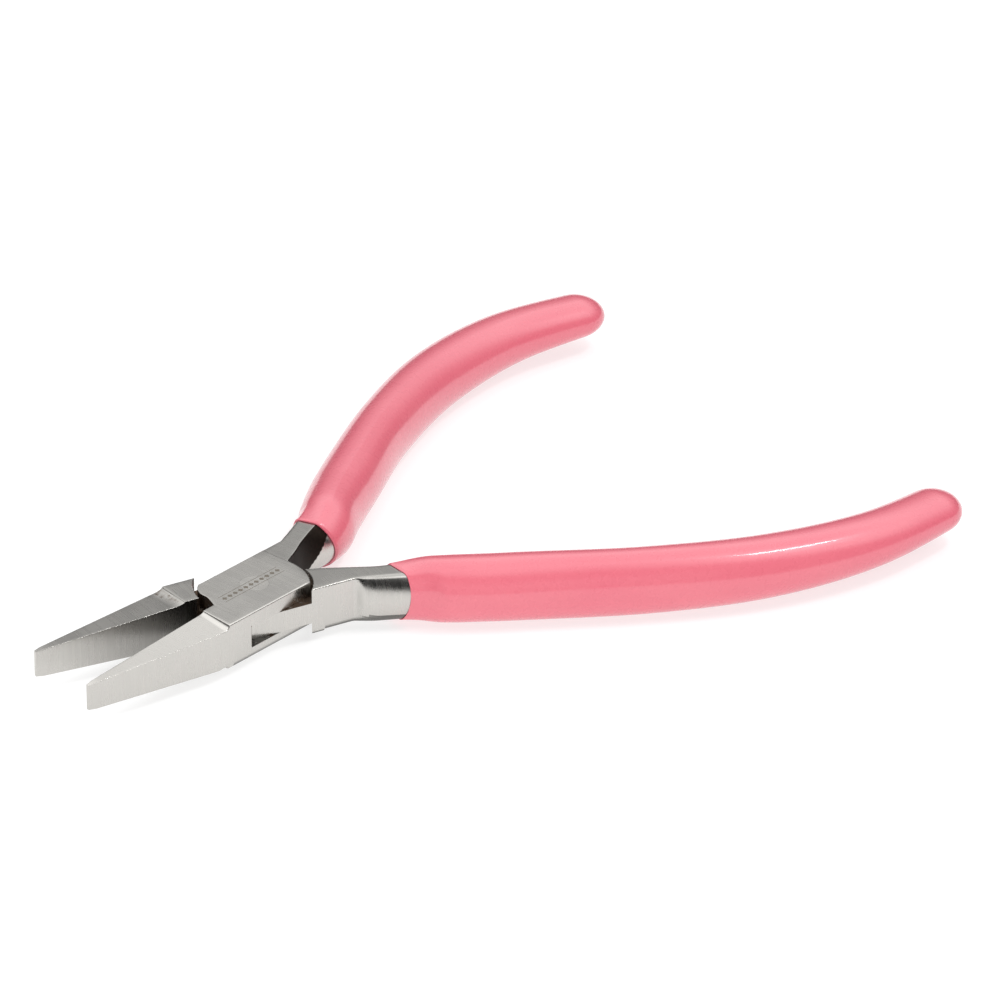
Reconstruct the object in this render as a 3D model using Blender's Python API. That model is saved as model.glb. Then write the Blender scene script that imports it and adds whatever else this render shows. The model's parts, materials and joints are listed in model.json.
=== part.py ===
"""Flat nose pliers with a box joint and dipped vinyl grips, standing partly open.

Frame: the pivot axis is +Z through the origin, and Z = 0 is the joint's flat underside.
The jaws point along -X and the handles along +X, with the tool's mid-plane on Y = 0.
Each half is drawn in its closed position and turned open by the empty that it hangs from.
Lengths are in millimetres until a mesh is made.
"""
import math

import bmesh
import bpy
import numpy as np
from mathutils import Matrix, Vector

MM = 0.001

# Whole tool
REST_HALF_ANGLE = math.radians(9.59)   # each half is turned this far from closed
TIP_X = -32.75                         # jaw tips, closed
GRIP_END_X = 97.5                      # ends of the grips, closed

# Box joint
JOINT_T = 6.9                          # thickness, flat face to flat face
JOINT_HALF_W = 5.4
PLATE_T = 1.88                         # each of the two plates around the slot
SLOT_CLEARANCE = 0.04                  # between the slot's faces and the web, each side
PLATE_R = 7.8                          # rounded open corners of the plates
POCKET_R = 8.1                         # matching pockets in the other half
WEB_R = 8.0                            # rounded ends of the web inside the slot
SLOT_R = 8.4
FACE_CLEARANCE = 0.02                  # each gripping face stands back from the mid-plane
STEP_X = -10.5                         # step from the joint down to the jaw
STEP_SLANT = 0.11                      # the step leans forward by this much per mm of width
STEP_DROP = 0.6
FILLET_R = 1.1                         # hollow at the foot of the step

# Jaws
JAW_ROOT_X = -12.0                     # where the outer side starts to taper
JAW_TIP_T = 0.7                        # one jaw's thickness at the tip
JAW_TIP_H = 3.9                        # height of the jaw's end

# Pivot pin
PIN_R = 2.0
PIN_FIT = 0.02                         # radial gap in the plates
PIN_RUNNING_FIT = 0.05                 # radial gap in the web

# Handles, closed: (X, Y) of the centre line, and (X, half size) square to it
CENTRE_LINE = [(9.0, 2.6), (14.2, 4.7), (18.6, 6.3), (25.0, 9.2), (33.2, 12.9), (49.3, 20.0),
               (65.4, 24.6), (81.4, 25.2), (GRIP_END_X, 21.4)]
SHANK_START_X = 10.0
INNER_START = (PLATE_R + 0.3, 1.0)     # inner edge of the handle where it leaves the joint
SHANK_HALF_W = (1.75, 2.95)            # bare steel, at the joint and at the grip's edge
SHANK_OVAL_H = (8.0, 4.05)             # half height of the oval that is cut flat at Z = 0 and top
HANDLE_SHIFT = {                       # how far each handle stands out from that line
    "box_half": [(9.0, 0.3), (18.6, 0.3), (26.0, 0.5), (45.0, 0.4), (60.0, 0.4), (80.0, 0.8),
                 (GRIP_END_X, 0.6)],
    "lap_half": [(9.0, -0.3), (18.6, -0.3), (30.6, 0.0), (GRIP_END_X, 0.0)]}

# Dipped grips
GRIP_START_X = 18.6
GRIP_HALF_W = [(GRIP_START_X, 3.3), (22.0, 4.1), (26.0, 4.35), (44.0, 4.15), (71.0, 4.55),
               (GRIP_END_X, 4.1)]
GRIP_HALF_H = [(GRIP_START_X, 4.1), (22.0, 4.55), (30.0, 4.7), (50.0, 4.7), (75.0, 3.95),
               (GRIP_END_X, 2.7)]
GRIP_Z = 3.65                          # height of the grip's centre above the joint's underside
GRIP_WALL = 1.1
GRIP_FIT = 0.1                         # gap left between vinyl and tang
LIP_R = 0.25                           # rounding of the dipped edge
LIP_TURN = {"box_half": 0.0, "lap_half": math.radians(-10)}  # the dipping line across each handle

ARC_STEPS = 20                         # facets along each rounded corner of the joint
ROUND_STEPS = 96                       # facets of a full turn on the slot and pockets
PIN_STEPS = 48
SIDE_STEPS = 8                         # facets on each side of the steel and the grip


# ---------------------------------------------------------------- mesh helpers

def add_object(name, mesh):
    piece = bpy.data.objects.new(name, mesh)
    bpy.context.scene.collection.objects.link(piece)
    return piece


def object_from_bmesh(name, shape):
    """Turn a bmesh drawn in millimetres into an object in metres with outward faces."""
    bmesh.ops.remove_doubles(shape, verts=shape.verts, dist=1e-4)
    bmesh.ops.recalc_face_normals(shape, faces=shape.faces)
    bmesh.ops.scale(shape, verts=shape.verts, vec=(MM, MM, MM))
    mesh = bpy.data.meshes.new(name)
    shape.to_mesh(mesh)
    shape.free()
    return add_object(name, mesh)


def extrude_outline(name, corners, travel):
    """A closed solid swept straight from a flat outline of 3-D corners."""
    shape = bmesh.new()
    face = shape.faces.new([shape.verts.new(corner) for corner in corners])
    moved = bmesh.ops.extrude_face_region(shape, geom=[face])["geom"]
    top = [item for item in moved if isinstance(item, bmesh.types.BMVert)]
    bmesh.ops.translate(shape, verts=top, vec=travel)
    return object_from_bmesh(name, shape)


def plan_solid(name, outline, low, high):
    return extrude_outline(name, [(x, y, low) for x, y in outline], (0, 0, high - low))


def arc(radius, start, end, steps):
    """Points on a circle about the pivot, from one angle in radians to another."""
    angles = [start + (end - start) * i / steps for i in range(steps + 1)]
    return [(radius * math.cos(angle), radius * math.sin(angle)) for angle in angles]


def disc(name, radius, low, high, steps=ROUND_STEPS):
    return plan_solid(name, arc(radius, 0, math.tau * (1 - 1 / steps), steps - 1), low, high)


def loft(name, rings, first_point, last_point):
    """Skin a row of rings that all have the same number of points, and close both ends."""
    shape = bmesh.new()
    rows = [[shape.verts.new(point) for point in ring] for ring in rings]
    count = len(rows[0])
    for near, far in zip(rows, rows[1:]):
        for i in range(count):
            j = (i + 1) % count
            shape.faces.new((near[i], near[j], far[j], far[i]))
    for row, point in ((rows[0], first_point), (rows[-1], last_point)):
        pole = shape.verts.new(point)
        for i in range(count):
            shape.faces.new((row[i], row[(i + 1) % count], pole))
    return object_from_bmesh(name, shape)


def combine(target, tool, operation):
    """Apply one Boolean to the target and throw its tool away."""
    cut = target.modifiers.new(operation.lower(), "BOOLEAN")
    cut.operation = operation
    cut.object = tool
    graph = bpy.context.evaluated_depsgraph_get()
    result = bpy.data.meshes.new_from_object(target.evaluated_get(graph))
    target.modifiers.remove(cut)
    target.data = result
    bpy.data.objects.remove(tool)


def smooth_curve(points):
    """The smooth function through a few (x, y) points: cubic pieces with shared slopes."""
    xs, ys = np.transpose(points)
    slopes = np.gradient(ys, xs)

    def value(x):
        i = int(np.clip(np.searchsorted(xs, x) - 1, 0, len(xs) - 2))
        width = xs[i + 1] - xs[i]
        t = min(max((x - xs[i]) / width, 0.0), 1.0)
        rise = t * t * (3 - 2 * t)
        return float(ys[i] + (ys[i + 1] - ys[i]) * rise
                     + width * t * (1 - t) * (slopes[i] * (1 - t) - slopes[i + 1] * t))
    return value


def ramp(x, start, end):
    """0 before start, 1 after end, straight between."""
    return min(1.0, max(0.0, (x - start) / (end - start)))


# ---------------------------------------------------------------- handle geometry

centre_line = smooth_curve(CENTRE_LINE)
grip_half_w = smooth_curve(GRIP_HALF_W)
grip_half_h = smooth_curve(GRIP_HALF_H)
TANG_END_X = GRIP_END_X - 3.0


class Handle:
    """Sections of one half's handle, drawn on the +Y side."""

    def __init__(self, half):
        self.shift = HANDLE_SHIFT[half]
        self.lip_turn = LIP_TURN[half]

    def centre_y(self, x):
        places, shifts = zip(*self.shift)
        return centre_line(x) + float(np.interp(x, places, shifts))

    def ring(self, x, half_w, half_h, half_flat, centre_z):
        """An oval section with its top and bottom cut flat.

        It lies along the dipping line at the grip's edge and square to the centre line further on.
        """
        step = 0.05
        slope = math.atan2(self.centre_y(x + step) - self.centre_y(x - step), 2 * step)
        turn = self.lip_turn + (slope - self.lip_turn) * ramp(x, GRIP_START_X, GRIP_START_X + 10)
        if x < GRIP_START_X - 1:
            turn = 0.0
        across = Vector((-math.sin(turn), math.cos(turn), 0)) / math.cos(slope - turn)
        centre = Vector((x, self.centre_y(x), centre_z))
        lift = math.asin(min(0.995, half_flat / half_h))
        points = []
        for side in (0, math.pi):
            for i in range(SIDE_STEPS + 1):
                angle = side - lift + 2 * lift * i / SIDE_STEPS
                points.append(centre + across * (half_w * math.cos(angle))
                              + Vector((0, 0, half_h * math.sin(angle))))
        return points

    def steel_ring(self, x, grow=0.0):
        """Section of the shank and tang. grow gives the cavity that the vinyl leaves round it."""
        out = ramp(x, SHANK_START_X, GRIP_START_X)
        bare_w = SHANK_HALF_W[0] + (SHANK_HALF_W[1] - SHANK_HALF_W[0]) * out
        bare_h = SHANK_OVAL_H[1] + (SHANK_OVAL_H[0] - SHANK_OVAL_H[1]) * (1 - out) ** 2
        inside = ramp(x, GRIP_START_X + 1, GRIP_START_X + 4)
        half_w = bare_w + (grip_half_w(x) - GRIP_WALL - bare_w) * inside
        half_h = bare_h + (grip_half_h(x) - GRIP_WALL - bare_h) * inside
        rounding = end_rounding(x, TANG_END_X, half_w)
        middle = JOINT_T / 2
        return self.ring(x, half_w * rounding + grow, half_h * rounding + grow,
                         middle + grow + inside, middle + (GRIP_Z - middle) * inside)

    def grip_ring(self, x, inset=0.0):
        half_w, half_h = grip_half_w(x), grip_half_h(x)
        rounding = end_rounding(x, GRIP_END_X, half_w)
        return self.ring(x, half_w * rounding - inset, half_h * rounding - inset, half_h, GRIP_Z)

    def point(self, x, z):
        return (x, self.centre_y(x), z)


def end_rounding(x, end_x, half_width):
    """How much of the section is left at x, so that the end closes in a half round."""
    left = (end_x - x) / half_width
    return math.sqrt(max(0.0, 1 - (1 - min(1.0, left)) ** 2))


def stations(start, end, count):
    """Places along X that crowd together towards the rounded end."""
    cap = 6.0
    body = list(np.linspace(start, end - cap, count))
    return [float(x) for x in body] + [end - cap * (1 - i / 8) ** 2 for i in range(1, 8)] + [end - 0.03]


# ---------------------------------------------------------------- sub-parts

def half_outline(corner_radius, handle):
    """Plan of one half's joint and jaw, with the jaw on -Y and the handle on +Y."""
    corner = math.asin(JOINT_HALF_W / corner_radius)
    face_y = -FACE_CLEARANCE
    block_end = SHANK_START_X + 1.4
    outline = [(TIP_X, face_y), (TIP_X, -JAW_TIP_T), (JAW_ROOT_X, -JOINT_HALF_W)]
    outline += arc(corner_radius, -corner, 0.1, ARC_STEPS)
    outline += [INNER_START, (block_end, handle.centre_y(block_end) - SHANK_HALF_W[0])]
    outline += [(block_end, JOINT_HALF_W)]
    outline += arc(corner_radius, math.pi - corner, math.pi, ARC_STEPS)
    outline[-1] = (-corner_radius, face_y)
    return outline


def side_profile():
    """Side view of the steel: jaw, hollow, step and joint, open-ended past the grip's edge."""
    middle = JOINT_T / 2
    beyond = 3.0
    free_x = GRIP_START_X + 1.2
    slope = (middle - STEP_DROP - JAW_TIP_H / 2) / (STEP_X - TIP_X)
    foot_x = STEP_X - FILLET_R
    foot = middle - STEP_DROP - slope * FILLET_R
    upper = [(TIP_X - beyond, JAW_TIP_H / 2 - slope * beyond)]
    for i in range(5):
        angle = math.radians(18.0 * i)
        upper.append((foot_x + FILLET_R * math.sin(angle),
                      foot + FILLET_R * (1 - math.cos(angle)) * STEP_DROP / FILLET_R))
    upper += [(STEP_X, middle), (free_x, middle), (free_x, middle + beyond),
              (GRIP_END_X + beyond, middle + beyond)]
    lower = [(x, -height) for x, height in reversed(upper)]
    return [(x, height + middle) for x, height in upper + lower]


STEEL_PLACES = [SHANK_START_X + step for step in (0, 2, 4, 6, 7.5)]
INSIDE_PLACES = [GRIP_START_X + step for step in (0, 1, 2, 3, 4)] + stations(26.0, TANG_END_X, 14)


def half_body(name, corner_radius):
    """One forging: jaw, full-thickness joint block, shank and tang."""
    handle = Handle(name)
    body = plan_solid(name, half_outline(corner_radius, handle), -2.0, JOINT_T + 2.0)
    shank = loft("shank", [handle.steel_ring(x) for x in STEEL_PLACES + INSIDE_PLACES],
                 handle.point(SHANK_START_X, JOINT_T / 2), handle.point(TANG_END_X, GRIP_Z))
    combine(body, shank, "UNION")
    reach = 40.0
    side = extrude_outline("side_profile",
                           [(x + STEP_SLANT * -reach, -reach, z) for x, z in side_profile()],
                           (STEP_SLANT * 2 * reach, 2 * reach, 0))
    combine(body, side, "INTERSECT")
    return body


def box_half():
    """The half with the slot: two plates, closed at the jaw and at the handle."""
    body = half_body("box_half", PLATE_R)
    combine(body, disc("slot", SLOT_R, PLATE_T, JOINT_T - PLATE_T), "DIFFERENCE")
    combine(body, disc("pin_hole", PIN_R + PIN_FIT, -1, JOINT_T + 1, PIN_STEPS), "DIFFERENCE")
    return body


def lap_half():
    """The half that passes through the slot: pocketed above and below its web."""
    body = half_body("lap_half", WEB_R)
    web_z = PLATE_T + SLOT_CLEARANCE
    combine(body, disc("lower_pocket", POCKET_R, -1, web_z), "DIFFERENCE")
    combine(body, disc("upper_pocket", POCKET_R, JOINT_T - web_z, JOINT_T + 1), "DIFFERENCE")
    hole = disc("pin_hole", PIN_R + PIN_RUNNING_FIT, -1, JOINT_T + 1, PIN_STEPS)
    combine(body, hole, "DIFFERENCE")
    mirror_across_mid_plane(body)
    return body


def mirror_across_mid_plane(piece):
    piece.data.transform(Matrix.Scale(-1, 4, (0, 1, 0)))
    piece.data.flip_normals()


def pivot_pin():
    """A plain rivet, ground flush with both plates."""
    return disc("pivot_pin", PIN_R, 0, JOINT_T, PIN_STEPS)


def dipped_grip(name, half):
    """A vinyl sleeve: closed at its end, open at the front where the shank comes out."""
    handle = Handle(half)
    cavity = [handle.steel_ring(x, GRIP_FIT) for x in reversed(INSIDE_PLACES)]
    lip = [handle.grip_ring(GRIP_START_X, LIP_R)]
    outside = [handle.grip_ring(x) for x in
               [GRIP_START_X + LIP_R, GRIP_START_X + 1.5, 22.0, 24.0] + stations(26.5, GRIP_END_X, 18)]
    return loft(name, cavity + lip + outside, handle.point(TANG_END_X + GRIP_FIT, GRIP_Z),
                handle.point(GRIP_END_X, GRIP_Z))


# ---------------------------------------------------------------- finish and assembly

def finish(piece, colour, roughness, metallic):
    """Give a sub-part its own material and smooth its round faces."""
    material = bpy.data.materials.new(piece.name + "_finish")
    material.use_nodes = True
    shader = material.node_tree.nodes["Principled BSDF"]
    shader.inputs["Base Color"].default_value = (*colour, 1)
    shader.inputs["Roughness"].default_value = roughness
    shader.inputs["Metallic"].default_value = metallic
    material.diffuse_color = (*colour, 1)
    piece.data.materials.clear()
    piece.data.materials.append(material)
    piece.data.shade_smooth()
    piece.data.set_sharp_from_angle(angle=math.radians(30))


def swing(name, angle, pieces):
    """Hang pieces from an empty on the pivot axis and turn them open."""
    pivot = add_object(name, None)
    pivot.rotation_euler = (0, 0, angle)
    for piece in pieces:
        piece.parent = pivot


def main():
    for leftover in list(bpy.data.objects):
        bpy.data.objects.remove(leftover)
    steel = (0.55, 0.55, 0.53)
    vinyl = (0.93, 0.30, 0.40)
    box = box_half()
    lap = lap_half()
    pin = pivot_pin()
    box_grip = dipped_grip("box_half_grip", "box_half")
    lap_grip = dipped_grip("lap_half_grip", "lap_half")
    mirror_across_mid_plane(lap_grip)
    for piece in (box, lap, pin):
        finish(piece, steel, 0.35, 1.0)
    for piece in (box_grip, lap_grip):
        finish(piece, vinyl, 0.25, 0.0)
    swing("box_half_pivot", REST_HALF_ANGLE, [box, pin, box_grip])
    swing("lap_half_pivot", -REST_HALF_ANGLE, [lap, lap_grip])


main()
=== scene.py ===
"""Flat nose pliers with a box joint and dipped vinyl grips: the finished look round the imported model.

Frame: the pivot axis is +Z through the origin and the joint's underside is at Z = 0. The jaws point
along -X. Each half is drawn closed, in millimetres, with its jaw on -Y and its handle on +Y. The
lapped half is then mirrored, and both are turned open and scaled to metres.
"""

import json
import math

import bmesh
import bpy
import numpy as np
from mathutils import Matrix, Vector


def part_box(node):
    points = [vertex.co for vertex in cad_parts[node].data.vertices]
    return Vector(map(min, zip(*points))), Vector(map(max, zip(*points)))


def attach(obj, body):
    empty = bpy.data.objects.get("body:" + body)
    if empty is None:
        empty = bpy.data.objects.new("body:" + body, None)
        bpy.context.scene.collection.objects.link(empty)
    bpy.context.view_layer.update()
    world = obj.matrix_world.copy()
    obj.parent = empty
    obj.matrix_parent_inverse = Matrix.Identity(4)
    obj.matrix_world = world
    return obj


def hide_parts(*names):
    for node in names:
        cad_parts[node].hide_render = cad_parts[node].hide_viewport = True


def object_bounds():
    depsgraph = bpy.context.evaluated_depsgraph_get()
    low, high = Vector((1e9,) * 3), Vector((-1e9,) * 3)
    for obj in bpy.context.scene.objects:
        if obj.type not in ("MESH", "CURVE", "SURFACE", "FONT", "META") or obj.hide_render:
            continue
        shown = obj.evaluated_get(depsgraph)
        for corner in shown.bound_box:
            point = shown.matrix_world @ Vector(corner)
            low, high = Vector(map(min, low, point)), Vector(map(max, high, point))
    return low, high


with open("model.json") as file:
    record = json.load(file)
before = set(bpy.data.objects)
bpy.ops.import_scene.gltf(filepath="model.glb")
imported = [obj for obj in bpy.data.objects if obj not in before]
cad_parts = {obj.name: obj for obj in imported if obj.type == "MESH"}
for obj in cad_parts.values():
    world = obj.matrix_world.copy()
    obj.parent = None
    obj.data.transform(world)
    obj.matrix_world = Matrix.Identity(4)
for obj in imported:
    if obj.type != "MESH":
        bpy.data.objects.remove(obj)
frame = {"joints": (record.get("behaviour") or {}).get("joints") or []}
cad_low, cad_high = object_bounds()

MM = 0.001
hinge = frame["joints"][0]
pin_low, pin_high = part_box("pivot_pin")

# Whole tool
REST_HALF_ANGLE = math.radians(hinge["range_deg"][1]) / 2
TURN = {"box_half": REST_HALF_ANGLE, "lap_half": -REST_HALF_ANGLE}
BODY = {"box_half": "box_side", "lap_half": "lap_side"}
TIP_X = -32.75
GRIP_START_X = 18.6
GRIP_END_X = 97.5

# Box joint
JOINT_T = (pin_high.z - pin_low.z) / MM
MIDDLE = JOINT_T / 2
JOINT_HALF_W = 5.4
LOWER_PLATE_T = 1.74
UPPER_PLATE_T = 2.04
SLOT_CLEARANCE = 0.04
ROUND_R = {   # round end of the plates and of the web, on the jaw's side and on the handle's
    "box_half": (7.95, 7.55), "lap_half": (8.0, 7.75)}
ARC_END = {"box_half": 0.10, "lap_half": -0.02}   # radians past the handle side's middle
CROTCH = [   # (Y, X) of the slotted half's filed corner between the jaws
    (0.0, -7.95), (1.0, -7.45), (2.1, -7.0), (3.7, -6.75), (5.1, -5.65), (5.4, -5.2)]
CROTCH_END_X = -4.8
POCKET_R = 8.1
POCKET_X = -0.2                                   # the pockets' centre, off the pivot
POCKET_RIM = 0.07
SLOT_R = 8.4
FACE_CLEARANCE = 0.02
PIN_R = (pin_high.x - pin_low.x) / 2 / MM
PIN_CLEARANCE = 0.05

# Jaws: the step, the hollow at its foot, and the drop at the gripping face and at the outside
STEP_X = {"box_half": -10.05, "lap_half": -10.5}
STEP_SLANT = 0.12
STEP_EDGE = 0.12
HOLLOW_L = {"box_half": 0.9, "lap_half": 2.2}
HOLLOW_ARC = math.radians(78)
DROP = {"box_half": (0.38, 0.60), "lap_half": (0.46, 0.76)}
JAW_ROOT_X = -12.0
JAW_TIP_T = 0.7
JAW_TIP_H = 3.9

# Shanks: flat edges of the top face on the inner and the outer side, closed
SHANK_END_X = 24.0
INNER_EDGE = {
    "box_half": [(7.51, 0.75), (8.2, 1.06), (10.4, 1.93), (12.8, 3.04), (15.2, 3.98), (17.4, 4.71),
                 (GRIP_START_X, 5.08), (SHANK_END_X, 7.2)],
    "lap_half": [(7.75, -0.16), (10.0, 0.62), (12.1, 1.62), (14.2, 2.65), (16.5, 3.72),
                 (GRIP_START_X, 4.42), (SHANK_END_X, 6.9)]}
OUTER_EDGE = {   # X of the crease where the joint's side ends, then the slope past it
    "box_half": (11.2, 0.378), "lap_half": (12.45, 0.365)}
SWELL_ROOT = [(8.2, 0.05), (10.0, 0.17)]
SWELL = {   # how far the shank's inner and outer sides stand out past those edges
    "box_half": (SWELL_ROOT + [(12.5, 0.45), (14.3, 0.90), (16.4, 1.75), (GRIP_START_X, 2.65),
                               (SHANK_END_X, 3.0)],
                 SWELL_ROOT + [(12.5, 0.38), (14.3, 0.56), (16.4, 0.80), (GRIP_START_X, 1.05),
                               (SHANK_END_X, 1.4)]),
    "lap_half": (SWELL_ROOT + [(12.5, 0.38), (14.3, 0.64), (16.4, 1.06), (GRIP_START_X, 1.40),
                               (SHANK_END_X, 1.9)],
                 SWELL_ROOT + [(12.5, 0.60), (13.6, 0.92), (16.4, 1.25), (GRIP_START_X, 1.44),
                               (SHANK_END_X, 1.9)])}
SIDE_ROUNDNESS = 0.85

# Handles, closed
CENTRE_LINE = [(9.0, 2.6), (14.2, 4.7), (GRIP_START_X, 6.3), (25.0, 9.2), (33.2, 12.9),
               (49.3, 20.0), (65.4, 24.6), (81.4, 25.2), (GRIP_END_X, 21.4)]
HANDLE_SHIFT = {   # how far each handle stands out from that line
    "box_half": [(9.0, 0.3), (GRIP_START_X, -0.9), (22.0, -0.75), (26.0, -0.2), (30.0, 0.1),
                 (34.0, 0.22), (45.0, 0.4), (80.0, 0.8), (GRIP_END_X, 0.6)],
    "lap_half": [(9.0, -0.3), (GRIP_START_X, -0.3), (30.6, 0.0), (GRIP_END_X, 0.0)]}
GRIP_HALF_W = {
    "box_half": [(GRIP_START_X, 3.8), (22.0, 4.1), (26.0, 4.25), (30.0, 4.4), (34.0, 4.45),
                 (44.0, 4.3), (71.0, 4.55), (GRIP_END_X, 4.1)],
    "lap_half": [(GRIP_START_X, 3.3), (22.0, 4.1), (26.0, 4.35), (44.0, 4.15), (71.0, 4.55),
                 (GRIP_END_X, 4.1)]}
GRIP_HALF_H = [(GRIP_START_X, 4.1), (22.0, 4.55), (30.0, 4.7), (50.0, 4.7), (75.0, 3.95),
               (GRIP_END_X, 2.7)]
VINYL_SIZE = 0.994                                # of those widths and heights, to stay in their box
GRIP_Z = 3.65
GRIP_WALL = 1.1
GRIP_FIT = 0.1
TANG_END_X = GRIP_END_X - 3.0
LIP_T = {"box_half": 0.28, "lap_half": 0.18}
LIP_X = {"box_half": 17.7, "lap_half": 18.7}      # the dipping line at the top face
LIP_TURN = {"box_half": math.radians(14), "lap_half": math.radians(-10)}
LIP_LEAN = {"box_half": 0.16, "lap_half": -0.09}  # how much further on it is per mm further down
FLARE_LEAD = 1.8                                  # how far before that line the flare starts
FLARE_END_X = 23.5

# Etched mark
MARK_L = 10.4
MARK_DIAMONDS = 11
MARK_PLACE = (-0.5, 0.1)
MARK_SUNK = 0.003

# Fineness of the meshes
FLAT_POINTS = 7
SIDE_POINTS = 15
CORNER_STEPS = 9
ROUND_STEPS = 240
PIN_STEPS = 96
JAW_STEPS = 22
HOLLOW_STEPS = 14
EDGE_STEPS = 5
ARC_STEPS = 28
LIP_STEPS = 6
SHANK_STEP = 0.2
MERGE = 1e-5

# Colours: steel, and steel darkened by painted shade, then pairs of tones that a pattern mixes
STEEL = (0.568, 0.552, 0.523)
# Painted shade: the darker tops past the jaw, the gripping faces and the bottom edges
PAINTED_SHADE_STEEL = tuple(0.30 * part for part in STEEL)
# Brown residue together with painted shade in the joint's slot, pockets and crotch
RESIDUE_AND_SHADE_BROWN = ((0.050, 0.036, 0.027, 1), (0.17, 0.115, 0.080, 1))
FORGE_BLACK = ((0.008, 0.006, 0.005, 1), (0.035, 0.026, 0.020, 1))
VINYL_PINK = ((0.690, 0.140, 0.190, 1), (0.710, 0.158, 0.204, 1))
ETCHED_GREY = ((0.120, 0.102, 0.080, 1), (0.185, 0.162, 0.132, 1))
FLOOR_GREY = ((0.39, 0.39, 0.39, 1), (0.41, 0.41, 0.41, 1))


# ---------------------------------------------------------------- curves

def smooth_curve(points):
    """The smooth function through a few (x, y) points: cubic pieces with shared slopes."""
    xs, ys = np.transpose(points)
    slopes = np.gradient(ys, xs)

    def value(x):
        i = int(np.clip(np.searchsorted(xs, x) - 1, 0, len(xs) - 2))
        width = xs[i + 1] - xs[i]
        t = min(max((x - xs[i]) / width, 0.0), 1.0)
        rise = t * t * (3 - 2 * t)
        return float(ys[i] + (ys[i + 1] - ys[i]) * rise
                     + width * t * (1 - t) * (slopes[i] * (1 - t) - slopes[i + 1] * t))
    return value


def ramp(x, start, end):
    return min(1.0, max(0.0, (x - start) / (end - start)))


def ease(x, start, end):
    t = ramp(x, start, end)
    return t * t * (3 - 2 * t)


def bend(x, reach):
    """0 for x < 0 and x for x > 0, with the corner rounded over that reach."""
    if x <= -reach:
        return 0.0
    return x if x >= reach else (x + reach) ** 2 / (4 * reach)


centre_line = smooth_curve(CENTRE_LINE)
grip_half_w = {half: smooth_curve(points) for half, points in GRIP_HALF_W.items()}
grip_half_h = smooth_curve(GRIP_HALF_H)
swells = {half: [smooth_curve(side) for side in sides] for half, sides in SWELL.items()}
crotch_x = smooth_curve(CROTCH)
inner_edge = {half: smooth_curve(points) for half, points in INNER_EDGE.items()}


def outer_edge(half, x):
    crease, slope = OUTER_EDGE[half]
    return JOINT_HALF_W + slope * bend(x - crease, 0.35)


def jaw_side(x):
    """Outer side of a jaw: straight taper, softly rounded where it leaves the joint."""
    slope = (JOINT_HALF_W - JAW_TIP_T) / (JAW_ROOT_X - TIP_X)
    return -JOINT_HALF_W + slope * bend(JAW_ROOT_X - x, 1.2)


# ---------------------------------------------------------------- steel sections

def side_profile(t):
    """How far an oval side stands out, from 1 half way up to 0 at the flat faces."""
    edge = math.sqrt(1 - SIDE_ROUNDNESS ** 2)
    return (math.sqrt(1 - (SIDE_ROUNDNESS * t) ** 2) - edge) / (1 - edge)


def section(left, right, bottom, tops, radii, bulges=(0.0, 0.0)):
    """Four-sided outline in (y, z) with rounded corners and sides that may stand out.

    Corners run bottom left, bottom right, top right, top left; tops are (left, right).
    """
    corners = [(left, bottom[0]), (right, bottom[1]), (right, tops[1]), (left, tops[0])]
    corners = [Vector(corner) for corner in corners]
    outward = {1: bulges[1], 3: -bulges[0]}
    lengths = [(corners[(k + 1) % 4] - corners[k]).length for k in range(4)]
    most = 0.42   # of an edge that one rounded corner may take
    radii = [min(radius, most * lengths[k], most * lengths[k - 1]) for k, radius in enumerate(radii)]

    def on_edge(k, distance):
        share = distance / lengths[k]
        point = corners[k].lerp(corners[(k + 1) % 4], share)
        point.x += outward.get(k, 0.0) * side_profile(2 * share - 1)
        return point

    points = []
    for k in range(4):
        following = (k + 1) % 4
        count = SIDE_POINTS if k in outward else FLAT_POINTS
        start, end = radii[k], lengths[k] - radii[following]
        points += [on_edge(k, start + (end - start) * i / (count - 1)) for i in range(count)]
        before, control = points[-1], corners[following]
        after = on_edge(following, radii[following])
        for i in range(1, CORNER_STEPS):
            t = i / CORNER_STEPS
            points.append(before * (1 - t) ** 2 + control * (2 * t * (1 - t)) + after * t * t)
    return points


def slant_at(x):
    """How much a section across the jaw leans forward per mm of width."""
    return STEP_SLANT * ease(x, TIP_X, TIP_X + 6) * (1 - ease(x, -9.8, -8.2))


def jaw_profile(half):
    """(x, rise at the gripping face, rise at the outside) from the tip to the top of the step."""
    step_x = STEP_X[half]
    foot_x = step_x - HOLLOW_L[half]
    feet = [MIDDLE - drop for drop in DROP[half]]
    rows = []
    for x in np.linspace(TIP_X, foot_x, JAW_STEPS)[:-1]:
        share = (x - TIP_X) / (foot_x - TIP_X)
        rows.append((x, *[JAW_TIP_H / 2 + (foot - JAW_TIP_H / 2) * share for foot in feet]))
    for i in range(HOLLOW_STEPS + 1):
        angle = HOLLOW_ARC * i / HOLLOW_STEPS
        along = math.sin(angle) / math.sin(HOLLOW_ARC)
        up = (1 - math.cos(angle)) / (1 - math.cos(HOLLOW_ARC))
        rows.append((foot_x + HOLLOW_L[half] * along,
                     *[foot + (MIDDLE - STEP_EDGE - foot) * up for foot in feet]))
    for i in range(1, EDGE_STEPS + 1):
        t = i / EDGE_STEPS
        rise = MIDDLE - STEP_EDGE * (1 - t) ** 2
        rows.append((step_x + STEP_EDGE * t * t, rise, rise))
    return rows


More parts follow.
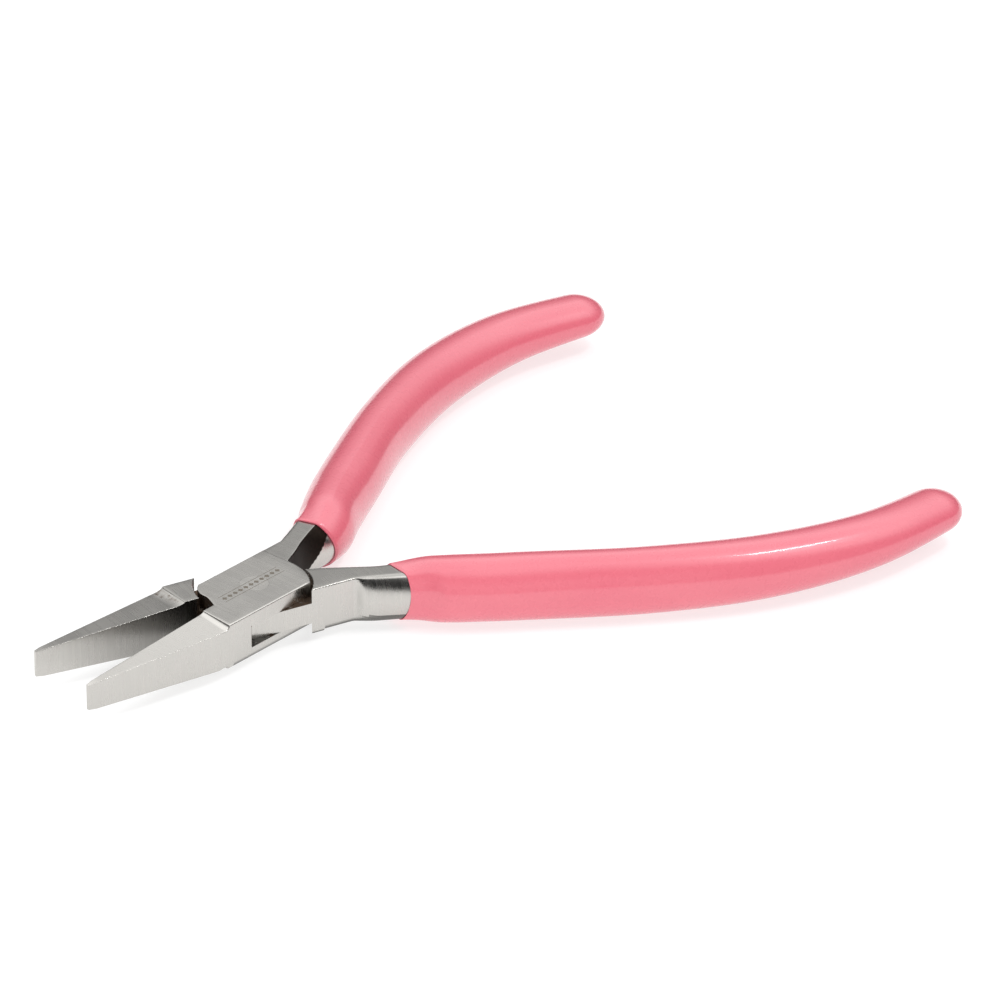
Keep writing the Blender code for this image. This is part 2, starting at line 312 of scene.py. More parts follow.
def block_rings(half):
    """Sections from the jaw's tip to the end of the round plates or web."""
    jaw_r, handle_r = ROUND_R[half]
    jaw_corner, handle_corner = (math.asin(JOINT_HALF_W / radius) for radius in (jaw_r, handle_r))
    rows = []
    for x, inner, outer in jaw_profile(half):
        rows.append((x, jaw_side(x), -FACE_CLEARANCE, inner, outer))
    for x in np.linspace(STEP_X[half] + 0.4, -jaw_r - 0.05, 8):
        rows.append((x, -JOINT_HALF_W, -FACE_CLEARANCE, MIDDLE, MIDDLE))
    for i in range(1, ARC_STEPS + 1):
        angle = jaw_corner * i / ARC_STEPS
        x, right = -jaw_r * math.cos(angle), jaw_r * math.sin(angle)
        if half == "box_half":
            x = crotch_x(right)
        rows.append((x, -JOINT_HALF_W, right, MIDDLE, MIDDLE))
    for x in np.linspace(rows[-1][0], handle_r * math.cos(handle_corner), 14)[1:-1]:
        rows.append((x, -JOINT_HALF_W, JOINT_HALF_W, MIDDLE, MIDDLE))
    for i in range(ARC_STEPS + 1):
        angle = -handle_corner + (handle_corner + ARC_END[half]) * i / ARC_STEPS
        x, left = handle_r * math.cos(angle), handle_r * math.sin(angle)
        rows.append((x, left, JOINT_HALF_W, MIDDLE, MIDDLE))
    return [block_ring(half, *row) for row in rows]


def block_ring(half, x, left, right, inner, outer):
    """One section of the jaw or joint; a few rounds settle where it leans onto the jaw's side."""
    slant = slant_at(x)
    step_x = STEP_X[half]
    if x < step_x + 1:
        for _ in range(4):
            left = jaw_side(x + slant * left)
    on_joint = ease(x, step_x - 2.0, step_x + 0.3)
    tip = 1 - ramp(x, TIP_X, TIP_X + 0.1)
    near_top = 0.02 + 0.25 * on_joint
    near_bottom = 0.22 + 0.9 * on_joint
    inner_edge_r = 0.06 + 0.12 * ease(x, -7.0, -4.0)
    inner_bottom_r = 0.08 + 0.5 * ease(x, -7.0, -4.0)
    draw_in = 0.09 * tip
    outline = section(left + draw_in, right - draw_in,
                      (MIDDLE - outer + draw_in, MIDDLE - inner + draw_in),
                      (MIDDLE + outer - draw_in, MIDDLE + inner - draw_in),
                      (near_bottom, inner_bottom_r, inner_edge_r, near_top))
    return [Vector((x + slant * y, y, z)) for y, z in outline]


def shank_ring(half, x):
    """Bare steel past the joint: flat top and bottom, sides that swell into an oval."""
    crease = OUTER_EDGE[half][0]
    inner_swell, outer_swell = (side(x) for side in swells[half])
    outer_swell *= ease(x, crease - 0.1, crease + 0.8)
    on_shoulder = 1 - ease(x, crease - 0.5, crease + 3.0)
    first_x = ROUND_R[half][1] * math.cos(ARC_END[half])
    start = ease(x, first_x, first_x + 2.0)
    outline = section(inner_edge[half](x), outer_edge(half, x), (0.0, 0.0), (JOINT_T, JOINT_T),
                      (0.10 + 0.2 * start, 0.35 + 0.77 * on_shoulder, 0.42 - 0.16 * on_shoulder,
                       0.12 + 0.13 * start),
                      (inner_swell * start, outer_swell))
    return [Vector((x, y, z)) for y, z in outline]


def handle_y(half, x):
    places, shifts = zip(*HANDLE_SHIFT[half])
    return centre_line(x) + float(np.interp(x, places, shifts))


def end_rounding(x, end_x, half_width):
    left = (end_x - x) / half_width
    return math.sqrt(max(0.0, 1 - (1 - min(1.0, left)) ** 2))


def lip_angles(half):
    """Where each point of the shank's section lies round the handle, as an angle."""
    ring = shank_ring(half, GRIP_START_X)
    centre_y = handle_y(half, GRIP_START_X)
    return [math.atan2(point.z - MIDDLE, point.y - centre_y) for point in ring]


def oval_ring(half, x, half_w, half_h):
    """An oval section of the handle, square to its centre line past the dipped edge."""
    step = 0.05
    slope = math.atan2(handle_y(half, x + step) - handle_y(half, x - step), 2 * step)
    turn = LIP_TURN[half] + (slope - LIP_TURN[half]) * ramp(x, GRIP_START_X, GRIP_START_X + 10)
    across = Vector((-math.sin(turn), math.cos(turn), 0)) / math.cos(slope - turn)
    centre = Vector((x, handle_y(half, x), GRIP_Z))
    return [centre + across * (half_w * math.cos(angle)) + Vector((0, 0, half_h * math.sin(angle)))
            for angle in LIP_ANGLES[half]]


def mix_rings(first, second, share):
    return [a.lerp(b, share) for a, b in zip(first, second)]


def grown(ring, amount):
    """The ring moved outwards in its own plane by that amount."""
    count = len(ring)
    moved = []
    for i, point in enumerate(ring):
        along = ring[(i + 1) % count] - ring[i - 1]
        size = math.hypot(along.y, along.z)
        moved.append(point + Vector((0, along.z, -along.y)) * (amount / size))
    return moved


def steel_handle_ring(half, x):
    """Section of the shank, and of the tang that it becomes inside the vinyl."""
    inside = ease(x, GRIP_START_X + 1.2, GRIP_START_X + 5.0)
    if inside == 0:
        return shank_ring(half, x)
    half_w, half_h = grip_half_w[half](x) - GRIP_WALL, grip_half_h(x) - GRIP_WALL
    rounding = end_rounding(x, TANG_END_X, half_w)
    tang = oval_ring(half, x, half_w * rounding, half_h * rounding)
    return mix_rings(shank_ring(half, min(x, SHANK_END_X)), tang, inside) if inside < 1 else tang


LIP_ANGLES = {half: lip_angles(half) for half in TURN}


def stations(start, end, count, cap=6.0, cap_steps=14):
    """Places along X that crowd together towards a rounded end."""
    body = [float(x) for x in np.linspace(start, end - cap, count)]
    return body + [end - cap * (1 - i / cap_steps) ** 2 for i in range(1, cap_steps)] + [end - 0.01]


# ---------------------------------------------------------------- mesh building

def add_object(name, mesh):
    piece = bpy.data.objects.new(name, mesh)
    bpy.context.scene.collection.objects.link(piece)
    return piece


def object_from_bmesh(name, shape):
    bmesh.ops.remove_doubles(shape, verts=shape.verts, dist=MERGE)
    bmesh.ops.recalc_face_normals(shape, faces=shape.faces)
    mesh = bpy.data.meshes.new(name)
    shape.to_mesh(mesh)
    shape.free()
    return add_object(name, mesh)


def loft(name, rings, first_point=None, last_point=None):
    """Skin a row of rings of equal count, and close both ends, flat or to a point."""
    shape = bmesh.new()
    rows = [[shape.verts.new(point) for point in ring] for ring in rings]
    count = len(rows[0])
    for near, far in zip(rows, rows[1:]):
        for i in range(count):
            j = (i + 1) % count
            shape.faces.new((near[i], near[j], far[j], far[i]))
    for row, point in ((rows[0], first_point), (rows[-1], last_point)):
        if point is None:
            shape.faces.new(row)
            continue
        pole = shape.verts.new(point)
        for i in range(count):
            shape.faces.new((row[i], row[(i + 1) % count], pole))
    return object_from_bmesh(name, shape)


def turned_disc(name, profile, steps=ROUND_STEPS, centre_x=0.0):
    """A round solid on an upright axis from (radius, z) rows, bottom to top."""
    rings = []
    for radius, z in profile:
        rings.append([Vector((centre_x + radius * math.cos(math.tau * i / steps),
                              radius * math.sin(math.tau * i / steps), z)) for i in range(steps)])
    return loft(name, rings)


def cut_out(target, tool):
    """Cut the tool's shape out of the target and throw the tool away."""
    cut = target.modifiers.new("difference", "BOOLEAN")
    cut.operation = "DIFFERENCE"
    cut.object = tool
    apply_modifiers(target)
    bpy.data.objects.remove(tool)


def apply_modifiers(piece):
    graph = bpy.context.evaluated_depsgraph_get()
    result = bpy.data.meshes.new_from_object(piece.evaluated_get(graph))
    piece.modifiers.clear()
    piece.data = result


def into_place(piece, half, sharp=35):
    """Mirror the lapped half, turn it open, scale it to metres and even out its shading."""
    if half == "lap_half":
        piece.data.transform(Matrix.Scale(-1, 4, (0, 1, 0)))
        piece.data.flip_normals()
    piece.data.transform(Matrix.Rotation(TURN[half], 4, "Z") @ Matrix.Scale(MM, 4))
    piece.data.shade_smooth()
    piece.data.set_sharp_from_angle(angle=math.radians(sharp))
    even = piece.modifiers.new("even_shading", "WEIGHTED_NORMAL")
    even.keep_sharp = True
    apply_modifiers(piece)


# ---------------------------------------------------------------- steel

def mark_surface(mesh, half):
    """Attributes for the joint's residue with painted shade, the faces under painted shade and the
    forging's black skin.
    """
    faces = [(face.center.copy(), face.normal.copy()) for face in mesh.polygons]
    points = [vertex.co.copy() for vertex in mesh.vertices]
    for name, domain, values in (("residue_and_shade", "FACE", [residue_and_shade(half, *face) for face in faces]),
                                 ("painted_shade", "FACE", [painted_shade(half, *face) for face in faces]),
                                 ("forge_scale", "POINT", [forge_scale(half, co) for co in points])):
        attribute = mesh.attributes.new(name, "FLOAT", domain)
        attribute.data.foreach_set("value", values)


def residue_and_shade(half, centre, normal):
    """How much dark residue and painted shade a face of the box joint gets, 0 none and 1 all over:
    painted shade with residue in the slot, the pockets and the crotch between the jaws, a brown stain
    on the step's hollow.
    """
    near_slot = 0.01 if half == "box_half" else 0.1
    in_slot = LOWER_PLATE_T - near_slot < centre.z < JOINT_T - UPPER_PLATE_T + near_slot
    upright = abs(normal.z) < 0.5
    if half == "box_half":
        # Painted shade with residue: the slot between the plates, and the crotch wall between the jaws
        if in_slot and PIN_R + 0.1 < math.hypot(centre.x, centre.y) < SLOT_R + 0.02:
            return 1.0
        return 0.9 if upright and centre.x < CROTCH_END_X and centre.y > 0.3 else 0.0
    radius = math.hypot(centre.x - POCKET_X, centre.y)
    # Painted shade with residue: the pocket floors under the plates, and the crotch wall
    if in_slot and abs(normal.z) > 0.9 and radius < POCKET_R + 0.05:
        return 0.9
    if upright and centre.x < CROTCH_END_X and abs(radius - POCKET_R) < 0.3:
        return 0.9
    if abs(radius - POCKET_R) < 0.02:
        return 0.12
    from_step = centre.x - STEP_SLANT * centre.y - STEP_X[half]
    on_hollow = -1.3 < from_step < -0.2 and abs(normal.z) > 0.5 and centre.y < -0.8
    return 0.5 if on_hollow else 0.0


def painted_shade(half, centre, normal):
    """How much painted shade darkens a face, 0 none and 1 dark: a darker painted reflection on the
    tops, painted shade on the gripping faces towards the joint and on the bottom edges.
    """
    x = centre.x
    if normal.z > 0.8:
        if half == "lap_half":
            return 0.45
        return 0.0 if x < STEP_X[half] else 0.15 + 0.29 * ease(x, 5.0, 9.0)
    if normal.y > 0.9 and centre.y > -0.3 and x < -7.5:
        return 0.95 * ramp(x, -29.0, -9.0)
    if x > STEP_X[half] and centre.z < 1.3 and -0.97 < normal.z < -0.05:
        return ease(-normal.z, 0.02, 0.42)
    return 0.0


def forge_scale(half, point):
    """1 where the black skin of the forging is left, high on the inner side of the shank."""
    if not 7.6 < point.x < 21:
        return 0.0
    on_side = ease(inner_edge[half](point.x) + 0.16 - point.y, 0.0, 0.14)
    high = ease(point.z - 2.2 - 0.85 * (point.x - 14.0), -0.35, 0.35)
    return on_side * high * (0.0 if point.x < 8.0 and point.y < 0.5 else 1.0)


def steel_half(name, half):
    first_x = ROUND_R[half][1] * math.cos(ARC_END[half])
    places = list(np.arange(first_x + 0.15, GRIP_START_X + 5.2, SHANK_STEP))
    places += stations(24.5, TANG_END_X, 40)
    rings = block_rings(half) + [steel_handle_ring(half, x) for x in places]
    end = Vector((TANG_END_X, handle_y(half, TANG_END_X), GRIP_Z))
    body = loft(name, rings, None, end)
    if half == "box_half":
        slot = [(SLOT_R, LOWER_PLATE_T), (SLOT_R, JOINT_T - UPPER_PLATE_T)]
        cut_out(body, turned_disc("slot", slot))
        hole_r = PIN_R
    else:
        web_top = JOINT_T - UPPER_PLATE_T - SLOT_CLEARANCE
        web_bottom = LOWER_PLATE_T + SLOT_CLEARANCE
        rim_r = POCKET_R + POCKET_RIM
        upper = [(POCKET_R, web_top), (POCKET_R, JOINT_T - POCKET_RIM), (rim_r, JOINT_T),
                 (rim_r, JOINT_T + 1)]
        lower = [(rim_r, -1), (rim_r, 0), (POCKET_R, POCKET_RIM), (POCKET_R, web_bottom)]
        for pocket, profile in (("upper_pocket", upper), ("lower_pocket", lower)):
            cut_out(body, turned_disc(pocket, profile, centre_x=POCKET_X))
        hole_r = PIN_R + PIN_CLEARANCE
    cut_out(body, turned_disc("pin_hole", [(hole_r, -1), (hole_r, JOINT_T + 1)], PIN_STEPS))
    mark_surface(body.data, half)
    into_place(body, half)
    return body


def pivot_rivet():
    """The rivet, ground flush with both plates."""
    edge = 0.02
    body_r = PIN_R + 0.004
    profile = [(PIN_R - edge, 0.0), (PIN_R, edge), (body_r, 2 * edge),
               (body_r, JOINT_T - 2 * edge), (PIN_R, JOINT_T - edge), (PIN_R - edge, JOINT_T)]
    rivet = turned_disc("pivot_rivet", profile, PIN_STEPS)
    into_place(rivet, "box_half")
    return rivet


# ---------------------------------------------------------------- dipped vinyl

def vinyl_outside_ring(half, x):
    """Outer skin of the grip: close to the steel at the dipped edge, then full and oval."""
    half_w, half_h = VINYL_SIZE * grip_half_w[half](x), VINYL_SIZE * grip_half_h(x)
    rounding = end_rounding(x, GRIP_END_X, half_w)
    oval = oval_ring(half, x, half_w * rounding, half_h * rounding)
    full = ease(x, LIP_X[half] - FLARE_LEAD, FLARE_END_X)
    if full == 1:
        return oval
    thickness = LIP_T[half] + 0.2 * ramp(x, LIP_X[half], FLARE_END_X)
    return mix_rings(grown(tilted_steel_ring(half, x), thickness), oval, full)


def tilted_steel_ring(half, x):
    """The shank's section along the dipping line instead of straight across."""
    lean = -math.tan(LIP_TURN[half])
    centre_y = handle_y(half, x)
    count = len(LIP_ANGLES[half])
    straight = shank_ring(half, x)
    leaning = []
    fade = 1 - ramp(x, LIP_X[half] + 1, LIP_X[half] + 5)
    for i in range(count):
        down = LIP_LEAN[half] * (JOINT_T - straight[i].z) * fade
        place = x + lean * (straight[i].y - centre_y) + down
        leaning.append(shank_ring_point(half, place, i))
    return leaning


def shank_ring_point(half, x, index):
    """One point of the shank's section, carried straight on past the shank's end."""
    past = max(0.0, x - SHANK_END_X)
    return shank_ring(half, min(x, SHANK_END_X))[index] + Vector((past, 0, 0))


def dipped_grip(name, half):
    """The dipped sleeve from its cavity's end, round the dipping line, to its outer end."""
    start = LIP_X[half]
    # Tight on the steel under the dipped edge, then with a little room round the tang
    cavity = [grown(tilted_steel_ring(half, start + step), -0.06) for step in (0.0, 0.5)]
    for x in [start + step for step in (2.2, 2.8, 3.6, 4.6, 5.6)] + stations(25.0, TANG_END_X, 30):
        cavity.append(grown(steel_handle_ring(half, x), GRIP_FIT))
    lip_base = tilted_steel_ring(half, start)
    lip = []
    for step in range(LIP_STEPS + 1):
        angle = math.pi * (1 - step / LIP_STEPS)
        out = LIP_T[half] / 2 * (1 + math.cos(angle)) - 0.02
        back = -0.12 * math.sin(angle)
        lip.append([point + Vector((back, 0, 0)) for point in grown(lip_base, out)])
    places = [start + step for step in (0.12, 0.3, 0.5, 0.75, 1.0)]
    places += list(np.arange(start + 1.4, 24.4, 0.4))
    places += stations(24.8, GRIP_END_X, 100, cap=5.5, cap_steps=20)
    rings = cavity[::-1] + lip + [vinyl_outside_ring(half, x) for x in places]
    cavity_end = Vector((TANG_END_X + GRIP_FIT, handle_y(half, TANG_END_X), GRIP_Z))
    outer_end = Vector((GRIP_END_X, handle_y(half, GRIP_END_X), GRIP_Z))
    grip = loft(name, rings, cavity_end, outer_end)
    into_place(grip, half, 60)
    return grip


# ---------------------------------------------------------------- etched mark

def socket_id(tree, name):
    """A modifier's input is set by its identifier."""
    return next(item.identifier for item in tree.interface.items_tree if item.name == name)


def motif_tree(material):
    """A row of small diamonds between two fine lines, as thin solids."""
    tree = bpy.data.node_groups.new("etched_motif", "GeometryNodeTree")
    sockets = tree.interface
    sockets.new_socket("Geometry", in_out="OUTPUT", socket_type="NodeSocketGeometry")
    for name, value in (("Row length", MARK_L), ("Diamond size", 0.42), ("Line gap", 1.5),
                        ("Line width", 0.09), ("Depth", 0.012)):
        item = sockets.new_socket(name, in_out="INPUT", socket_type="NodeSocketFloat")
        item.default_value = value * MM
    item = sockets.new_socket("Diamonds", in_out="INPUT", socket_type="NodeSocketInt")
    item.default_value = MARK_DIAMONDS
    nodes, links = tree.nodes, tree.links
    given = nodes.new("NodeGroupInput").outputs

    def combine_xyz(x=None, y=None, z=None):
        node = nodes.new("ShaderNodeCombineXYZ")
        for socket, source in zip(node.inputs, (x, y, z)):
            if source is not None:
                links.new(source, socket)
        return node.outputs[0]

    def scaled(source, factor):
        node = nodes.new("ShaderNodeMath")
        node.operation = "MULTIPLY"
        links.new(source, node.inputs[0])
        node.inputs[1].default_value = factor
        return node.outputs[0]

    row = nodes.new("GeometryNodeMeshLine")
    row.mode = "END_POINTS"
    links.new(given["Diamonds"], row.inputs["Count"])
    links.new(combine_xyz(scaled(given["Row length"], -0.5)), row.inputs["Start Location"])
    links.new(combine_xyz(scaled(given["Row length"], 0.5)), row.inputs["Offset"])
    diamond = nodes.new("GeometryNodeMeshCylinder")
    diamond.inputs["Vertices"].default_value = 4
    links.new(given["Diamond size"], diamond.inputs["Radius"])
    links.new(given["Depth"], diamond.inputs["Depth"])
    place = nodes.new("GeometryNodeInstanceOnPoints")
    links.new(row.outputs["Mesh"], place.inputs["Points"])
    links.new(diamond.outputs["Mesh"], place.inputs["Instance"])
    bar = nodes.new("GeometryNodeMeshCube")
    links.new(combine_xyz(scaled(given["Row length"], 1.1), given["Line width"], given["Depth"]),
              bar.inputs["Size"])
    pair = nodes.new("GeometryNodeMeshLine")
    pair.mode = "END_POINTS"
    pair.inputs["Count"].default_value = 2
    links.new(combine_xyz(None, scaled(given["Line gap"], -0.5)), pair.inputs["Start Location"])
    links.new(combine_xyz(None, scaled(given["Line gap"], 0.5)), pair.inputs["Offset"])
    rule = nodes.new("GeometryNodeInstanceOnPoints")
    links.new(pair.outputs["Mesh"], rule.inputs["Points"])
    links.new(bar.outputs["Mesh"], rule.inputs["Instance"])
    join = nodes.new("GeometryNodeJoinGeometry")
    links.new(rule.outputs["Instances"], join.inputs["Geometry"])
    links.new(place.outputs["Instances"], join.inputs["Geometry"])
    real = nodes.new("GeometryNodeRealizeInstances")
    links.new(join.outputs["Geometry"], real.inputs["Geometry"])
    paint = nodes.new("GeometryNodeSetMaterial")
    paint.inputs["Material"].default_value = material
    links.new(real.outputs["Geometry"], paint.inputs["Geometry"])
    links.new(paint.outputs["Geometry"], nodes.new("NodeGroupOutput").inputs["Geometry"])
    return tree


def etched_mark(material):
    """The plain row of diamonds, laid flush along the middle of the upper plate."""
    mark = add_object("etched_mark", bpy.data.meshes.new("etched_mark"))
    grow = mark.modifiers.new("motif", "NODES")
    grow.node_group = motif_tree(material)
    grow[socket_id(grow.node_group, "Diamonds")] = MARK_DIAMONDS
    grow[socket_id(grow.node_group, "Row length")] = MARK_L * MM
    apply_modifiers(mark)
    x, y = MARK_PLACE
    place = Matrix.Translation((x * MM, y * MM, JOINT_T * MM - MARK_SUNK * MM))
    mark.data.transform(Matrix.Rotation(REST_HALF_ANGLE, 4, "Z") @ place)
    return mark


# ---------------------------------------------------------------- materials

class Shader:
    """A node material with a few short ways to add to it."""

    def __init__(self, name):
        self.material = bpy.data.materials.new(name)
        self.material.use_nodes = True
        self.tree = self.material.node_tree
        self.surface = self.tree.nodes["Principled BSDF"]

    def feed(self, socket, value):
        if isinstance(value, bpy.types.NodeSocket):
            self.tree.links.new(value, socket)
        else:
            socket.default_value = value

    def node(self, kind, **inputs):
        made = self.tree.nodes.new(kind)
        for name, value in inputs.items():
            self.feed(made.inputs[name.replace("_", " ")], value)
        return made

    def set(self, name, value):
        self.feed(self.surface.inputs[name], value)

    def attribute(self, name):
        made = self.node("ShaderNodeAttribute")
        made.attribute_name = name
        return made.outputs["Fac"]

    def place(self, angle, scale):
        """Object coordinates turned to lie along one half of the tool."""
        where = self.node("ShaderNodeTexCoord").outputs["Object"]
        turned = self.node("ShaderNodeMapping", Vector=where, Rotation=(0, 0, -angle)).outputs[0]
        return self.node("ShaderNodeMapping", Vector=turned, Scale=scale).outputs[0]

    def noise(self, where, detail, roughness):
        return self.node("ShaderNodeTexNoise", Vector=where, Scale=1.0, Detail=detail,
                         Roughness=roughness).outputs["Fac"]

    def spread(self, value, low, high, out_low, out_high):
        made = self.node("ShaderNodeMapRange", Value=value)
        for name, number in (("From Min", low), ("From Max", high), ("To Min", out_low),
                             ("To Max", out_high)):
            made.inputs[name].default_value = number
        return made.outputs[0]

    def mix_colour(self, share, first, second, blend="MIX"):
        made = self.tree.nodes.new("ShaderNodeMix")
        made.data_type = "RGBA"
        made.blend_type = blend
        for index, value in ((0, share), (6, first), (7, second)):
            self.feed(made.inputs[index], value)
        return made.outputs[2]

    def maths(self, operation, first, second):
        made = self.tree.nodes.new("ShaderNodeMath")
        made.operation = operation
        for socket, value in zip(made.inputs, (first, second)):
            self.feed(socket, value)
        return made.outputs[0]

    def bump(self, height, strength, distance, under=None):
        made = self.node("ShaderNodeBump", Height=height, Strength=strength, Distance=distance)
        if under is not None:
            self.tree.links.new(under, made.inputs["Normal"])
        return made.outputs[0]


def ground_steel(name, angle):
    """Satin ground steel: fine lines across the length, faint clouding, residue with painted shade in
    the joint, and painted shade on the tops, gripping faces and bottom edges.
    """
    shader = Shader(name)
    lines = shader.noise(shader.place(angle, (9000, 160, 160)), 4.0, 0.65)
    coarse = shader.noise(shader.place(angle, (2600, 90, 90)), 2.0, 0.5)
    cloud = shader.noise(shader.place(angle, (170, 170, 170)), 3.0, 0.6)
    speck = shader.noise(shader.place(angle, (2300, 2300, 2300)), 3.0, 0.7)
    blotch = shader.noise(shader.place(angle, (900, 900, 900)), 5.0, 0.7)

    # Ground metal, darker under painted shade
    tone = shader.spread(shader.maths("ADD", lines, cloud), 0.7, 1.3, 0.96, 1.03)
    grey = shader.node("ShaderNodeCombineColor", Red=tone, Green=tone, Blue=tone).outputs[0]
    metal = shader.mix_colour(shader.attribute("painted_shade"), (*STEEL, 1), (*PAINTED_SHADE_STEEL, 1))
    clean = shader.mix_colour(1.0, metal, grey, "MULTIPLY")

    # Brown residue with painted shade, in broken patches
    residue_and_shade = shader.attribute("residue_and_shade")
    patches = shader.maths("ADD", residue_and_shade, shader.spread(blotch, 0.3, 0.7, -0.45, 0.25))
    stain_and_shade = shader.spread(patches, 0.25, 0.75, 0.0, 1.0)
    stain_and_shade = shader.maths("MULTIPLY", stain_and_shade, shader.maths("GREATER_THAN", residue_and_shade, 0.05))
    marked = shader.mix_colour(stain_and_shade, clean, shader.mix_colour(speck, *RESIDUE_AND_SHADE_BROWN))

    # Black skin of the forging, with an uneven border
    uneven = shader.spread(cloud, 0.3, 0.7, -0.2, 0.2)
    skin = shader.maths("ADD", shader.attribute("forge_scale"), uneven)
    skin = shader.spread(skin, 0.35, 0.6, 0.0, 1.0)
    shader.set("Base Color", shader.mix_colour(skin, marked, shader.mix_colour(speck, *FORGE_BLACK)))

    shader.set("Metallic", 1.0)
    rough = shader.spread(shader.maths("ADD", coarse, cloud), 0.7, 1.3, 0.22, 0.32)
    covered = shader.spread(shader.maths("MAXIMUM", stain_and_shade, skin), 0, 1, 0.0, 0.6)
    shader.set("Roughness", shader.maths("MAXIMUM", rough, covered))
    fine = shader.bump(lines, 0.04, 0.000007)
    shader.set("Normal", shader.bump(speck, 0.05, 0.000005, fine))
    return shader.material


def dipped_vinyl(name, angle):
    """Glossy dipped vinyl with the faint waves and ripple that dipping leaves."""
    shader = Shader(name)
    waves = shader.noise(shader.place(angle, (70, 150, 150)), 2.0, 0.5)
    ripple = shader.noise(shader.place(angle, (900, 900, 900)), 2.0, 0.5)
    tint = shader.noise(shader.place(angle, (45, 90, 90)), 3.0, 0.6)
    shader.set("Base Color", shader.mix_colour(shader.spread(tint, 0.35, 0.65, 0.0, 1.0), *VINYL_PINK))
    shader.set("Roughness", shader.spread(ripple, 0.3, 0.7, 0.24, 0.32))
    shader.set("Coat Weight", 0.65)
    shader.set("Coat Roughness", 0.04)
    broad = shader.bump(waves, 0.15, 0.00008)
    shader.set("Normal", shader.bump(ripple, 0.012, 0.000002, broad))
    return shader.material


def etched_finish(name):
    """The matt, darker metal that etching leaves."""
    shader = Shader(name)
    mottle = shader.noise(shader.place(0, (1500, 1500, 1500)), 3.0, 0.6)
    shader.set("Base Color", shader.mix_colour(mottle, *ETCHED_GREY))
    shader.set("Metallic", 0.1)
    shader.set("Roughness", shader.spread(mottle, 0.3, 0.7, 0.45, 0.6))
    return shader.material


def floor_finish(name):
    """A pale matt floor that glows a little, so that it stays white up to its edges."""
    shader = Shader(name)
    grain = shader.noise(shader.place(0, (60, 60, 60)), 3.0, 0.5)
    shader.set("Base Color", shader.mix_colour(grain, *FLOOR_GREY))
    shader.set("Roughness", shader.spread(grain, 0.3, 0.7, 0.85, 0.95))
    shader.set("Specular IOR Level", 0.0)
    shader.set("Emission Color", (1, 1, 1, 1))
    shader.set("Emission Strength", 0.66)
    return shader.material


# ---------------------------------------------------------------- stage

CAMERA_YAW = math.radians(50.39)
CAMERA_PITCH = math.radians(28.26)
CAMERA_ROLL = math.radians(0.26)
CAMERA_ORIGIN = (-0.35, 0, 0)            # in millimetres, beside the pivot
CAMERA_OFFSET = (33.22, 17.33, 1074.2)   # right, up and back from there
FLOOR_HALF = 6                           # in metres

# Softboxes, in metres: where they aim, their size and their power
FILL_AIM = (0.02, 0, 0)
FILL_SIZE = (0.9, 0.5)
FILL_POWER = 7.0
STREAK_AIM = (0.0605, -0.0377, 0.0073)   # on the near grip, where the long highlight lies
STREAK_WAY = (0.324, -0.272, 0.906)      # from there to the softbox
STREAK_LONG_SIDE = (0.281, 0.101, -0.071)
STREAK_SIZE = (0.31, 0.10)
STREAK_POWER = 2.2

# Sky: brightness by height, and the share of it that is left towards the camera's own side
SKY_HEIGHT = [(0.0, 0.02), (0.28, 0.05), (0.40, 0.17), (0.473, 0.25), (0.50, 0.29),
              (0.58, 0.52), (0.70, 0.78), (0.86, 0.66), (1.0, 0.60)]
SKY_BEHIND = [(0.0, 0.06), (0.12, 0.25), (0.30, 1.0)]
SKY_TILT = math.radians(52)
SKY_STRENGTH = 2.3


def camera_axes():
    """The camera's right, up and forward directions."""
    forward = Vector((math.cos(CAMERA_YAW) * math.cos(CAMERA_PITCH),
                      math.sin(CAMERA_YAW) * math.cos(CAMERA_PITCH), -math.sin(CAMERA_PITCH)))
    level = Vector((math.sin(CAMERA_YAW), -math.cos(CAMERA_YAW), 0))
    upright = level.cross(forward)
    right = level * math.cos(CAMERA_ROLL) + upright * math.sin(CAMERA_ROLL)
    up = upright * math.cos(CAMERA_ROLL) - level * math.sin(CAMERA_ROLL)
    return right, up, forward


def add_camera():
    right, up, forward = camera_axes()
    aside, above, away = CAMERA_OFFSET
    place = Vector(CAMERA_ORIGIN) + right * aside + up * above - forward * away
    data = bpy.data.cameras.new("camera")
    data.lens = 288
    data.sensor_width = 36
    data.clip_end = 20
    camera = bpy.data.objects.new("camera", data)
    bpy.context.scene.collection.objects.link(camera)
    turned = Matrix((right, up, -forward)).transposed().to_4x4()
    camera.matrix_world = Matrix.Translation(place * MM) @ turned
    bpy.context.scene.camera = camera


def add_floor():
    shape = bmesh.new()
    bmesh.ops.create_grid(shape, x_segments=12, y_segments=12, size=FLOOR_HALF)
    floor = object_from_bmesh("floor", shape)
    floor.data.transform(Matrix.Translation((0, 0, cad_low.z)))
    floor.data.materials.append(floor_finish("pale_floor"))


def add_softbox(name, place, aim, size, power, long_side, in_reflections=True):
    """A rectangular lamp that faces its aim, with its long side turned that way."""
    data = bpy.data.lights.new(name, "AREA")
    data.shape = "RECTANGLE"
    data.size, data.size_y = size
    data.energy = power
    light = bpy.data.objects.new(name, data)
    bpy.context.scene.collection.objects.link(light)
    light.visible_glossy = in_reflections
    back = (place - aim).normalized()
    across = back.cross(Vector(long_side)).normalized()
    turned = Matrix((across.cross(back), across, back)).transposed().to_4x4()
    light.matrix_world = Matrix.Translation(place) @ turned


def add_lights():
    right, up, forward = camera_axes()
    aim = Vector(FILL_AIM)
    add_softbox("fill", aim - forward * 1.0 - up * 0.15, aim, FILL_SIZE, FILL_POWER, right,
                in_reflections=False)
    aim = Vector(STREAK_AIM)
    add_softbox("streak", aim + Vector(STREAK_WAY), aim, STREAK_SIZE, STREAK_POWER, STREAK_LONG_SIDE)


